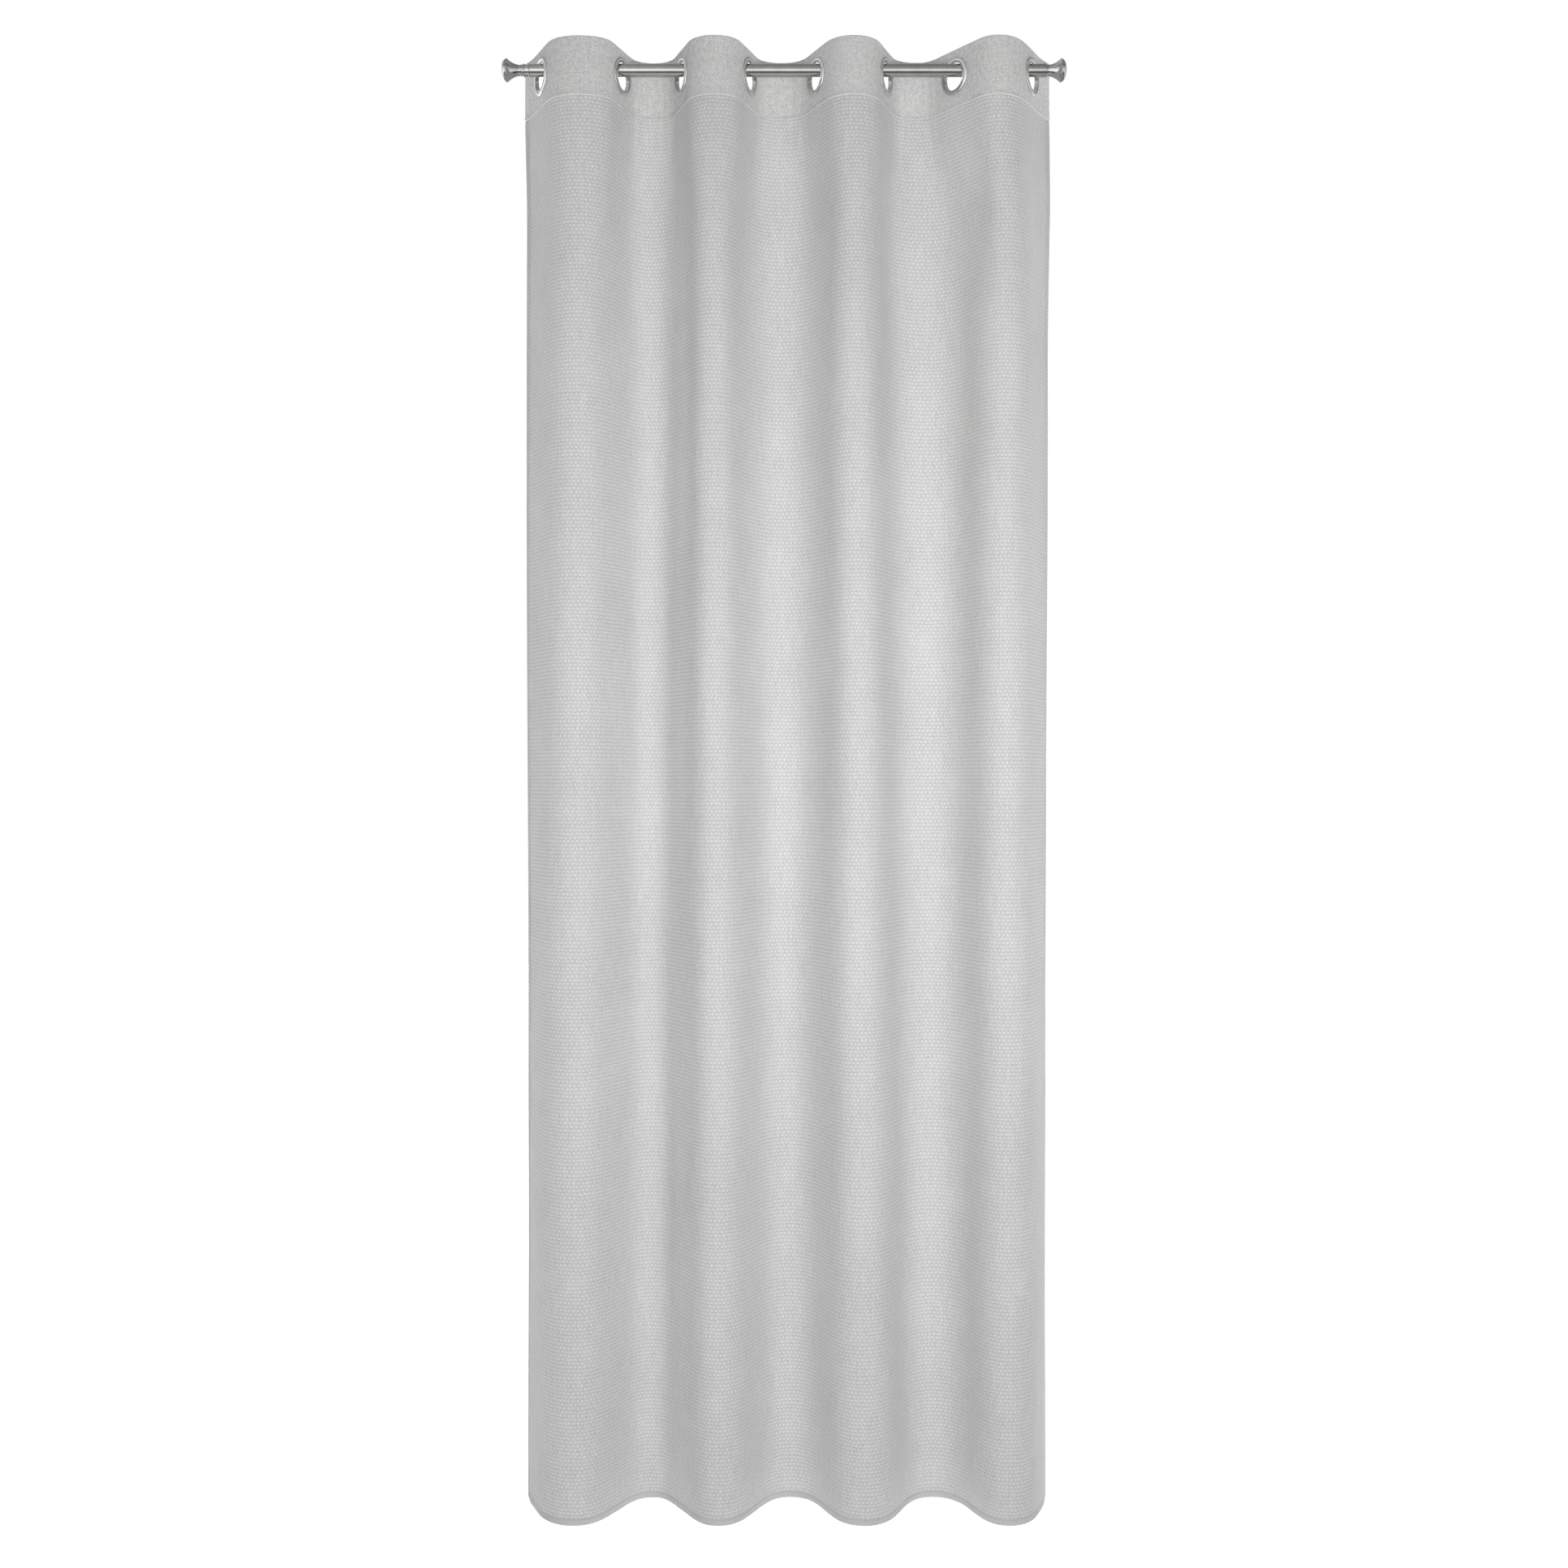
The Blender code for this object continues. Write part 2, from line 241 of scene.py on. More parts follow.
def plain_row(z):
    """The cloth's middle line at height z, from the left edge to the right, without creases."""
    upper = smooth((RELAX_START - z) / UPPER_RELAX)
    lower = max(0.0, (RELAX_START - UPPER_RELAX - z) / (RELAX_START - UPPER_RELAX - CLOTH_BOTTOM))
    eased = smooth((RELAX_START - z) / YAW_RELAX)
    flat = mix(FLAT_HALF, LOWER_FLAT_HALF, eased)
    centres = []
    ways = []
    for k in range(EYELETS):
        x = EYELET_X[k] + UPPER_DRIFT[k] * upper + LOWER_DRIFT[k] * lower
        yaw = math.radians(mix(EYELET_YAW[k], LOWER_YAW[k], eased))
        centres.append(np.array([x, 0.0]))
        ways.append(np.array([math.cos(yaw), forwards(k) * math.sin(yaw)]))
    outwards = mix(MARGIN_TURN, LOWER_MARGIN_TURN, smooth((RELAX_START - z) / MARGIN_RELAX))
    parts = [margin(centres[0], -ways[0], flat, outwards)[::-1]]
    for k in range(FOLDS):
        lower_depth = LOWER_FRONT_DEPTH if k % 2 == 0 else LOWER_BACK_DEPTH
        depth = mix(FOLD_DEPTH[k], lower_depth, eased)
        crest = np.array([(centres[k][0] + centres[k + 1][0]) / 2, forwards(k) * depth])
        parts.append(half_fold(centres[k], ways[k], flat, crest)[1:])
        parts.append(half_fold(centres[k + 1], -ways[k + 1], flat, crest)[::-1][1:])
    parts.append(margin(centres[-1], ways[-1], flat, -outwards)[1:])
    return np.vstack(parts)


EYELET_COLUMN = [MARGIN_COLUMNS + 2 * HALF_COLUMNS * k for k in range(EYELETS)]


def flat_positions():
    """How far each column is from the left edge with the cloth laid flat."""
    marks = [0.0] + [MARGIN + EYELET_PITCH * k for k in range(EYELETS)]
    marks.append(marks[-1] + MARGIN)
    columns = [0] + EYELET_COLUMN + [EYELET_COLUMN[-1] + MARGIN_COLUMNS]
    return np.interp(np.arange(columns[-1] + 1), columns, marks)


FLAT_U = flat_positions()
CLOTH_WIDTH = FLAT_U[-1]


def side_normals(line):
    """The face side's direction along a row."""
    run = np.gradient(line, axis=0)
    run /= np.linalg.norm(run, axis=1)[:, None]
    return np.stack([run[:, 1], -run[:, 0]], axis=1)


def creases(u, z):
    """How far the cloth stands out from its plain shape, small folds and slack."""
    slack = SLACK * noise.noise(Vector((u * 9.0, z * 1.1, 3.7)))
    slack += FINE_SLACK * noise.noise(Vector((u * 26.0, z * 2.6, 8.1)))
    near_eyelet = 1.0
    fold = (u - MARGIN) / EYELET_PITCH
    across = (fold - round(fold)) * EYELET_PITCH
    if 0 <= round(fold) < EYELETS:
        distance = math.hypot(across, z - RING_Z)
        near_eyelet = smooth((distance - EYELET_STIFF_RADIUS) / EYELET_STIFF_FADE)
    in_back_fold = max(0.0, math.cos(math.pi * (fold - 1.5))) ** 2
    below_rod = smooth((TUCKS_TOP - z) / TUCKS_FADE_IN) * (1 - smooth((TUCKS_LOW - z) / TUCKS_FADE_OUT))
    tucks = TUCKS * math.sin(u * TUCK_RATE + 2.2 * noise.noise(Vector((u * 14.0, z * 5.0, 1.3))))
    hem = smooth((z - CLOTH_BOTTOM - PUCKER_REACH) / -PUCKER_FADE)
    pucker = PUCKER * noise.noise(Vector((u * 70.0, 0.4, 5.5))) * hem
    return (slack + tucks * in_back_fold * below_rod) * near_eyelet + pucker


_rows = {}


def cloth_row(z):
    """Middle line, face normals and crease offsets at height z."""
    key = round(z, 6)
    if key not in _rows:
        line = plain_row(z)
        sides = side_normals(line)
        push = np.array([creases(u, z) for u in FLAT_U])
        _rows[key] = (line + push[:, None] * sides, sides)
    return _rows[key]


def cloth_point(u, z, offset=0.0):
    """A point on the cloth, offset metres out from its middle towards its face."""
    line, sides = cloth_row(z)
    x = np.interp(u, FLAT_U, line[:, 0]) + offset * np.interp(u, FLAT_U, sides[:, 0])
    y = np.interp(u, FLAT_U, line[:, 1]) + offset * np.interp(u, FLAT_U, sides[:, 1])
    return Vector((x, y, z))


# Pieces of cloth


def column_range(k):
    """First and last column of fold k's piece; the end folds take the margins too."""
    first = 0 if k == 0 else EYELET_COLUMN[k]
    last = len(FLAT_U) - 1 if k == FOLDS - 1 else EYELET_COLUMN[k + 1]
    return first, last


def grid_mesh(name, heights, offsets, first, last, keep=None, along=None):
    """A sheet over the columns first to last, with a row for each height and offset pair.

    along is the distance run down the sheet at each row, for the weave; keep says which faces stay.
    """
    vertices = []
    uvs = []
    count = last - first + 1
    for row, (z, offset) in enumerate(zip(heights, offsets)):
        line, sides = cloth_row(z)
        shown = line[first : last + 1] + offset * sides[first : last + 1]
        vertices.extend((x, y, z) for x, y in shown)
        down = z if along is None else along[row]
        uvs.extend((u, down) for u in FLAT_U[first : last + 1])
    faces = []
    for row in range(len(heights) - 1):
        for column in range(count - 1):
            a = row * count + column
            face = (a, a + count, a + count + 1, a + 1)
            if keep is None or keep([vertices[i] for i in face]):
                faces.append(face)
    return mesh_object(name, vertices, faces, uvs)


def mesh_object(name, vertices, faces, uvs=None):
    mesh = bpy.data.meshes.new(name)
    mesh.from_pydata(vertices, [], faces)
    if uvs is not None:
        layer = mesh.uv_layers.new(name="flat")
        loops = np.zeros(len(mesh.loops), int)
        mesh.loops.foreach_get("vertex_index", loops)
        layer.data.foreach_set("uv", np.array(uvs, np.float32)[loops].ravel())
    mesh.shade_smooth()
    obj = bpy.data.objects.new(name, mesh)
    bpy.context.scene.collection.objects.link(obj)
    return obj


def outside_eyelets(corners):
    centre = np.mean(np.array(corners), axis=0)
    for x in EYELET_X:
        if math.dist(centre, (x, 0.0, RING_Z)) < EYELET_HOLE:
            return False
    return True


def rounded_turn(z, half, upwards):
    """(height, offset) pairs round the fold at an edge, from the face to the back."""
    way = 1 if upwards else -1
    pairs = []
    for i in range(EDGE_STEPS + 1):
        angle = math.pi * i / EDGE_STEPS
        pairs.append((z + way * half * (math.sin(angle) - 1), half * math.cos(angle)))
    return pairs


def heading_section():
    """(height, offset) pairs up the face of the doubled band, over the top edge and down the back."""
    half = HEADING_THICKNESS / 2
    rows = int(round((CLOTH_TOP - half - HEADING_LOW - 2 * EDGE_EASE) / HEADING_ROW))
    heights = np.linspace(HEADING_LOW + EDGE_EASE, CLOTH_TOP - half, rows + 1)
    heights = np.insert(heights, 1, HEADING_LOW + SEAM_ROW)
    lip = [(HEADING_LOW + LIP_REACH, LIP_OFFSET), (HEADING_LOW, half * HEADING_LIP)]
    face = lip + [(z, half + WELT_RISE * (1 - smooth((z - HEADING_LOW) / WELT_HEIGHT))) for z in heights]
    over = rounded_turn(CLOTH_TOP, half, True)[1:-1]
    back = [(z, -offset) for z, offset in face[::-1]]
    return face + over + back


def hem_section():
    """(height, offset) pairs down the face of the bottom hem, under the edge and up the back."""
    half = HEM_THICKNESS / 2
    top = CLOTH_BOTTOM + HEM_HEIGHT
    face = [(top + LIP_REACH, LIP_OFFSET), (top, half * HEM_LIP)]
    face += [(z, half) for z in np.linspace(top - EDGE_EASE, CLOTH_BOTTOM + half, HEM_FACE_ROWS)]
    under = rounded_turn(CLOTH_BOTTOM, half, False)[1:-1]
    back = [(z, -offset) for z, offset in face[::-1]]
    return face + under + back


def run_along(section):
    """Distance along a section's line, so that the weave keeps its size round a fold."""
    run = [0.0]
    for (z0, o0), (z1, o1) in zip(section, section[1:]):
        run.append(run[-1] + math.hypot(z1 - z0, o1 - o0))
    return run


def section_piece(name, section, k, keep=None):
    first, last = column_range(k)
    heights = [z for z, _ in section]
    offsets = [offset for _, offset in section]
    return grid_mesh(name, heights, offsets, first, last, keep, run_along(section))


def side_hem(name, left):
    """The narrow doubled edge down one side of the cloth."""
    half = HEM_THICKNESS / 2
    edge = 0.0 if left else CLOTH_WIDTH
    inwards = 1 if left else -1
    face = [(SIDE_HEM_WIDTH + LIP_REACH, LIP_OFFSET), (SIDE_HEM_WIDTH, half * HEM_LIP)]
    face += [(across, half) for across in (SIDE_HEM_WIDTH - EDGE_EASE, SIDE_HEM_WIDTH * 0.5, half)]
    angles = [math.pi * i / EDGE_STEPS for i in range(1, EDGE_STEPS)]
    turn = [(half * (1 - math.sin(angle)), half * math.cos(angle)) for angle in angles]
    section = face + turn + [(across, -offset) for across, offset in face[::-1]]
    run = run_along(section)
    heights = np.arange(CLOTH_BOTTOM + half, HEADING_LOW + HEADING_ROW, SIDE_HEM_ROW)
    vertices = []
    uvs = []
    for z in heights:
        for (across, offset), down in zip(section, run):
            vertices.append(cloth_point(edge + inwards * across, z, offset))
            uvs.append((down, z))
    count = len(section)
    faces = []
    for row in range(len(heights) - 1):
        for i in range(count - 1):
            a = row * count + i
            face = (a, a + 1, a + count + 1, a + count)
            faces.append(face if left else face[::-1])
    return mesh_object(name, vertices, faces, uvs)


def stitch(vertices, faces, start, end, out):
    """One thread stitch, a short spindle that dips into the cloth at both ends."""
    along = (end - start).normalized()
    side = along.cross(out).normalized()
    lift = side.cross(along)
    base = len(vertices)
    for share, width in STITCH_SHAPE:
        rise = math.sin(math.pi * share) - STITCH_SINK
        centre = start.lerp(end, share) + lift * STITCH_RADIUS * rise
        for i in range(STITCH_SIDES):
            angle = 2 * math.pi * i / STITCH_SIDES
            out_from_centre = math.cos(angle) * side + math.sin(angle) * lift
            vertices.append(centre + width * STITCH_RADIUS * out_from_centre)
    last_ring = len(STITCH_SHAPE) - 1
    for ring in range(last_ring):
        for i in range(STITCH_SIDES):
            j = (i + 1) % STITCH_SIDES
            a = base + ring * STITCH_SIDES
            b = a + STITCH_SIDES
            faces.append((a + i, a + j, b + j, b + i))
    faces.append(tuple(base + i for i in range(STITCH_SIDES))[::-1])
    faces.append(tuple(base + last_ring * STITCH_SIDES + i for i in range(STITCH_SIDES)))


def stitched_line(vertices, faces, u_from, u_to, z, offset):
    """A level line of stitches, offset metres out from the cloth's middle."""
    count = int((u_to - u_from) / STITCH_PITCH)
    for i in range(count):
        u = u_from + (i + 0.5) * STITCH_PITCH
        start = cloth_point(u - STITCH_LENGTH / 2, z, offset)
        end = cloth_point(u + STITCH_LENGTH / 2, z, offset)
        out = cloth_point(u, z, offset + OUT_PROBE) - cloth_point(u, z, offset)
        stitch(vertices, faces, start, end, out.normalized())


def stitched_drop(vertices, faces, u, offset):
    """A line of stitches straight down a side hem."""
    z = HEADING_LOW - STITCH_PITCH
    while z > CLOTH_BOTTOM + HEM_HEIGHT + STITCH_PITCH:
        start = cloth_point(u, z, offset)
        end = cloth_point(u, z - STITCH_LENGTH, offset)
        out = cloth_point(u, z, offset + OUT_PROBE) - start
        stitch(vertices, faces, start, end, out.normalized())
        z -= STITCH_PITCH


def stitching(k):
    """All the stitches of one fold: under the heading, along the hem and down an end fold's side."""
    vertices = []
    faces = []
    first, last = column_range(k)
    u_from = FLAT_U[first] + (STITCH_END_GAP if k == 0 else 0.0)
    u_to = FLAT_U[last] - (STITCH_END_GAP if k == FOLDS - 1 else 0.0)
    heading_out = HEADING_THICKNESS / 2 + WELT_RISE * 0.75
    hem_out = HEM_THICKNESS / 2
    heading_z = HEADING_LOW + HEADING_STITCH_INSET
    hem_z = CLOTH_BOTTOM + HEM_HEIGHT - HEM_STITCH_INSET
    side_inset = SIDE_HEM_WIDTH - HEM_STITCH_INSET
    for side in (1, -1):
        stitched_line(vertices, faces, u_from, u_to, heading_z, side * heading_out)
        stitched_line(vertices, faces, u_from, u_to, hem_z, side * hem_out)
        if k == 0:
            stitched_drop(vertices, faces, side_inset, side * hem_out)
        if k == FOLDS - 1:
            stitched_drop(vertices, faces, CLOTH_WIDTH - side_inset, side * hem_out)
    return mesh_object(f"stitching_{k + 1}", vertices, faces)


# Turned metal. A profile is a list of (radius, height) points.


def turned(name, profile, sides, closed):
    """Spin (radius, height) points about Z.

    A closed outline makes a ring; an open one starts and ends on the axis.
    """
    vertices = []
    faces = []
    count = len(profile)
    for i in range(sides):
        angle = 2 * math.pi * i / sides
        for radius, height in profile:
            vertices.append((radius * math.cos(angle), radius * math.sin(angle), height))
    for i in range(sides):
        near = i * count
        far = ((i + 1) % sides) * count
        for a in range(count if closed else count - 1):
            b = (a + 1) % count
            faces.append((near + a, far + a, far + b, near + b))
    obj = mesh_object(name, vertices, faces)
    if not closed:
        weld = obj.modifiers.new("weld", "WELD")
        weld.merge_threshold = WELD_DISTANCE
    obj.data.set_sharp_from_angle(angle=math.radians(SHARP_ANGLE))
    return obj


def arc(centre, radii, start, end, steps):
    points = []
    for i in range(steps + 1):
        angle = math.radians(mix(start, end, i / steps))
        points.append((centre[0] + radii[0] * math.cos(angle), centre[1] + radii[1] * math.sin(angle)))
    return points


def rounded(points, radius, steps=4):
    """The outline with each inner corner rounded by a small curve."""
    shaped = [points[0]]
    for before, corner, after in zip(points, points[1:], points[2:]):
        b = Vector(before)
        c = Vector(corner)
        a = Vector(after)
        reach = min(radius, (b - c).length / 2, (a - c).length / 2)
        start = c + (b - c).normalized() * reach
        end = c + (a - c).normalized() * reach
        for i in range(steps + 1):
            t = i / steps
            point = (1 - t) ** 2 * start + 2 * t * (1 - t) * c + t * t * end
            shaped.append((point.x, point.y))
    shaped.append(points[-1])
    return shaped


RING_OUTER = (RING_HIGH[2] - RING_LOW[2]) / 2
RING_BORE = 0.0230
RING_SEAT = HEADING_THICKNESS / 2 + 0.0001
RING_FACE = 0.0020
RING_BACK = 0.0015
BARREL_WALL = 0.0012


def face_ring_profile():
    """A pressed ring: a narrow foot, a domed band, a fine groove and a lip that rolls into the bore."""
    foot = [(RING_OUTER, RING_SEAT), (RING_OUTER, RING_SEAT + 0.0006)]
    band = arc((RING_OUTER - 0.0036, RING_SEAT + 0.0006), (0.0034, RING_FACE - 0.0006), 10, 150, 10)
    groove = [(RING_BORE + 0.0027, RING_SEAT + 0.0005), (RING_BORE + 0.0023, RING_SEAT + 0.0005)]
    lip = arc((RING_BORE + 0.0011, RING_SEAT + 0.0009), (0.0011, 0.0010), 60, 180, 8)
    barrel_end = -(RING_SEAT + RING_BACK + 0.0006)
    outside = RING_BORE + BARREL_WALL
    barrel = [(RING_BORE, barrel_end), (outside, barrel_end), (outside, RING_SEAT)]
    return foot + band + groove + lip + barrel


def back_ring_profile():
    """A low domed ring that sits against the back of the cloth round the barrel."""
    inner = RING_BORE + BARREL_WALL + 0.0002
    outer = RING_OUTER - 0.0008
    middle = (inner + outer) / 2
    return arc((middle, -RING_SEAT), ((outer - inner) / 2, RING_BACK), 180, 360, 14)


def place_ring(obj, k):
    """Stand a ring on edge at eyelet k, its face towards the cloth's face side."""
    yaw = math.radians(forwards(k) * EYELET_YAW[k])
    obj.rotation_euler = (math.radians(90), 0, yaw)
    obj.location = (EYELET_X[k], 0, RING_Z)


def lay_along(obj, x, side):
    """Turn a piece that was spun about Z so that it points along the rod, out from x."""
    obj.rotation_euler = (0, side * math.radians(90), 0)
    obj.location = (x, 0, 0)


def length_of(node):
    low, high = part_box(node)
    return high[0] - low[0]


def radius_of(node):
    low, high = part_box(node)
    return (high[2] - low[2]) / 2


def rod_profile():
    """A tube with its outer edges eased."""
    half = length_of("rod_tube") / 2
    inner = ROD_RADIUS - TUBE_WALL
    ease = 0.0004
    return [
        (inner, -half),
        (ROD_RADIUS - ease, -half),
        (ROD_RADIUS, -half + ease),
        (ROD_RADIUS, half - ease),
        (ROD_RADIUS - ease, half),
        (inner, half),
    ][::-1]


def trumpet_profile(length, neck, rim):
    """A foot ring at the neck, a concave flare and a thin rolled rim."""
    foot = [(0, 0), (neck + 0.0006, 0), (neck + 0.0006, 0.0011), (neck, 0.0016)]
    flare = []
    steps = 26
    edge = 0.0015
    for i in range(1, steps + 1):
        t = i / steps
        flare.append((neck + (rim - neck - 0.0002) * t**2.1, mix(0.0016, length - edge, t)))
    rim_roll = arc((rim - edge / 2, length - edge / 2), (edge / 2, edge / 2), -60, 90, 8)
    return foot + flare + rim_roll + [(0, length)]


def cap_profile(height, radius):
    """A flat rim, a fine step and a low dome."""
    step = 0.0014
    dome = arc((0, step), (radius * 0.93, height - step), 0, 90, 22)
    return rounded([(0, 0), (radius, 0), (radius, step * 0.8), (radius * 0.94, step)], 0.0003) + dome


def collar_profile(length, bead):
    """A plain sleeve with a flange against the rod and one bead by the trumpet."""
    sleeve = 0.0100
    outline = [(0, 0), (0.0108, 0), (0.0108, 0.0016), (sleeve, 0.0022), (sleeve, 0.0082)]
    ring = arc((sleeve - 0.0002, 0.0099), (bead - sleeve + 0.0002, 0.0016), -90, 90, 12)
    return rounded(outline, 0.0003) + ring + [(FINIAL_NECK, 0.0118), (FINIAL_NECK, length), (0, length)]


# Materials


class Nodes:
    """A short way to write a material's node tree."""

    def __init__(self, name):
        self.material = bpy.data.materials.new(name)
        self.material.use_nodes = True
        self.tree = self.material.node_tree
        self.shader = self.tree.nodes["Principled BSDF"]
        self.output = self.tree.nodes["Material Output"]

    def add(self, kind, **settings):
        node = self.tree.nodes.new(kind)
        for key, value in settings.items():
            setattr(node, key, value)
        return node

    def link(self, source, target):
        self.tree.links.new(source, target)

    def put(self, socket, value):
        if hasattr(value, "links"):
            self.link(value, socket)
        else:
            socket.default_value = value

    def math(self, operation, a, b=None, c=None):
        node = self.add("ShaderNodeMath", operation=operation)
        for socket, value in zip(node.inputs, (a, b, c)):
            if value is not None:
                self.put(socket, value)
        return node.outputs[0]

    def noise(self, vector, scale, detail=2.0, roughness=0.5):
        node = self.add("ShaderNodeTexNoise")
        self.link(vector, node.inputs["Vector"])
        node.inputs["Scale"].default_value = scale
        node.inputs["Detail"].default_value = detail
        node.inputs["Roughness"].default_value = roughness
        return node.outputs["Fac"]

    def stretch(self, vector, scale):
        node = self.add("ShaderNodeMapping")
        self.link(vector, node.inputs["Vector"])
        node.inputs["Scale"].default_value = scale
        return node.outputs["Vector"]

    def ramp(self, factor, *stops):
        node = self.add("ShaderNodeValToRGB")
        self.link(factor, node.inputs["Fac"])
        elements = node.color_ramp.elements
        while len(elements) < len(stops):
            elements.new(0.5)
        for element, (position, colour) in zip(elements, stops):
            element.position = position
            element.color = (*colour, 1.0)
        return node.outputs["Color"]

    def bump(self, height, strength, distance, normal=None):
        node = self.add("ShaderNodeBump")
        node.inputs["Strength"].default_value = strength
        node.inputs["Distance"].default_value = distance
        self.link(height, node.inputs["Height"])
        if normal is not None:
            self.link(normal, node.inputs["Normal"])
        return node.outputs["Normal"]


def grey(value, warmth=0.0):
    return (value * (1 + warmth), value, value * (1 - warmth))


# How much each pattern adds to the cloth's tone, and the tones of its darkest and lightest colours
LEVEL_YARN = 0.66
YARN_TONE = 0.50
SLUB_TONE = 0.30
KNOT_TONE = 0.36
FIBRE_TONE = 0.16
CLOUD_TONE = 0.14
SLUB_MEAN = 0.33
DARKEST = 0.12
LIGHTEST = 1.05
YARN_BUMP = 0.0009


def woven(name, column, row, dark, light, warmth, relief, through, slubs, slub_size, welt=None):
    """Cloth in a plain weave of flat yarns, column by row metres to a crossing.

    Where an upright yarn is on top there is a long light oval, where a level one is on top a shorter
    and duller one, and thin dark gaps run between them. Slubs are the uneven thickness of the yarns.
    welt is the distance along the piece from one lower edge to the other; along both edges a paler band
    is painted as a highlight, for the light that the raised welt catches.
    """
    n = Nodes(name)
    coordinate = n.add("ShaderNodeUVMap", uv_map="flat").outputs["UV"]
    wander = n.noise(n.stretch(coordinate, (60.0, 60.0, 1.0)), 1.0, 2.0)
    wander = n.math("SUBTRACT", wander, 0.5)
    split = n.add("ShaderNodeSeparateXYZ")
    n.link(coordinate, split.inputs[0])
    u = n.math("MULTIPLY_ADD", wander, column * 0.9, split.outputs["X"])
    v = n.math("MULTIPLY_ADD", wander, row * 0.6, split.outputs["Y"])
    across = n.math("COSINE", n.math("MULTIPLY", u, math.pi / column))
    down = n.math("COSINE", n.math("MULTIPLY", v, math.pi / row))
    crossing = n.math("MULTIPLY", across, down)
    upright = n.math("POWER", n.math("MAXIMUM", crossing, 0.0), 0.50)
    level = n.math("POWER", n.math("MAXIMUM", n.math("MULTIPLY", crossing, -1.0), 0.0), 0.60)
    yarn = n.math("MULTIPLY_ADD", level, LEVEL_YARN, upright)
    slub = n.noise(n.stretch(coordinate, (1 / slub_size[0], 1 / slub_size[1], 1.0)), 1.0, 3.0, 0.6)
    knot = n.noise(n.stretch(coordinate, (0.9 / column, 1.1 / row, 1.0)), 1.0, 2.0, 0.6)
    fibre = n.noise(n.stretch(coordinate, (2600.0, 900.0, 1.0)), 1.0, 2.0, 0.7)
    cloud = n.noise(n.stretch(coordinate, (9.0, 5.0, 1.0)), 1.0, 3.0, 0.6)
    tone = n.math("MULTIPLY_ADD", yarn, YARN_TONE, n.math("MULTIPLY", slub, SLUB_TONE * slubs))
    tone = n.math("MULTIPLY_ADD", knot, KNOT_TONE * slubs, tone)
    tone = n.math("MULTIPLY_ADD", fibre, FIBRE_TONE, tone)
    tone = n.math("MULTIPLY_ADD", cloud, CLOUD_TONE, tone)
    tone = n.math("SUBTRACT", tone, SLUB_MEAN * (slubs - 1))
    # Painted highlight: a paler band along both lower edges, standing in for the light that the raised
    # welt catches
    if welt is not None:
        edge = n.math("PINGPONG", split.outputs["Y"], welt / 2)
        painted_highlight = n.math("MULTIPLY_ADD", edge, -WELT_PAINTED_HIGHLIGHT / WELT_HEIGHT, WELT_PAINTED_HIGHLIGHT)
        tone = n.math("ADD", tone, n.math("MAXIMUM", painted_highlight, 0.0))
    colour = n.ramp(tone, (DARKEST, grey(dark, warmth)), (LIGHTEST, grey(light, warmth)))
    n.link(colour, n.shader.inputs["Base Color"])
    rough = n.math("MULTIPLY_ADD", slub, 0.12, 0.80)
    n.link(rough, n.shader.inputs["Roughness"])
    n.shader.inputs["Specular IOR Level"].default_value = 0.25
    n.shader.inputs["Sheen Weight"].default_value = 0.25
    n.shader.inputs["Sheen Roughness"].default_value = 0.45
    height = n.math("MULTIPLY_ADD", fibre, 0.15, yarn)
    normal = n.bump(height, relief, YARN_BUMP)
    n.link(normal, n.shader.inputs["Normal"])
    glow = n.add("ShaderNodeBsdfTranslucent")
    n.link(colour, glow.inputs["Color"])
    n.link(normal, glow.inputs["Normal"])
    both = n.add("ShaderNodeMixShader")
    both.inputs["Fac"].default_value = through
    n.link(n.shader.outputs["BSDF"], both.inputs[1])
    n.link(glow.outputs["BSDF"], both.inputs[2])
    n.link(both.outputs["Shader"], n.output.inputs["Surface"])
    return n.material


def thread():
    """Spun polyester thread with a fine twist."""
    n = Nodes("stitch_thread")
    place = n.add("ShaderNodeTexCoord").outputs["Object"]
    twist = n.noise(n.stretch(place, (2400.0, 2400.0, 2400.0)), 1.0, 2.0)
    n.link(n.ramp(twist, (0.2, grey(0.46)), (0.9, grey(0.64))), n.shader.inputs["Base Color"])
    n.link(n.math("MULTIPLY_ADD", twist, 0.2, 0.55), n.shader.inputs["Roughness"])
    n.link(n.bump(twist, 0.4, 0.0002), n.shader.inputs["Normal"])
    n.shader.inputs["Sheen Weight"].default_value = 0.2
    return n.material


def metal(name, dark, light, roughness, warmth, grain, grain_depth, stretch=(1.0, 1.0, 1.0)):
    """Plated metal with fine lines along its grain, faint smudges and a little uneven polish."""
    n = Nodes(name)
    place = n.add("ShaderNodeTexCoord").outputs["Object"]
    lines = n.noise(n.stretch(place, tuple(grain * s for s in stretch)), 1.0, 3.0, 0.65)
    smudge = n.noise(place, 60.0, 3.0, 0.55)
    tone = n.math("MULTIPLY_ADD", smudge, 0.35, n.math("MULTIPLY", lines, 0.65))
    colour = n.ramp(tone, (0.30, grey(dark, warmth)), (0.70, grey(light, warmth)))
    n.link(colour, n.shader.inputs["Base Color"])
    spread = n.math("MULTIPLY_ADD", smudge, 0.12, roughness - 0.06)
    n.link(n.math("MULTIPLY_ADD", lines, 0.08, spread), n.shader.inputs["Roughness"])
    n.shader.inputs["Metallic"].default_value = 1.0
    n.link(n.bump(lines, grain_depth, 0.0002), n.shader.inputs["Normal"])
    return n.material


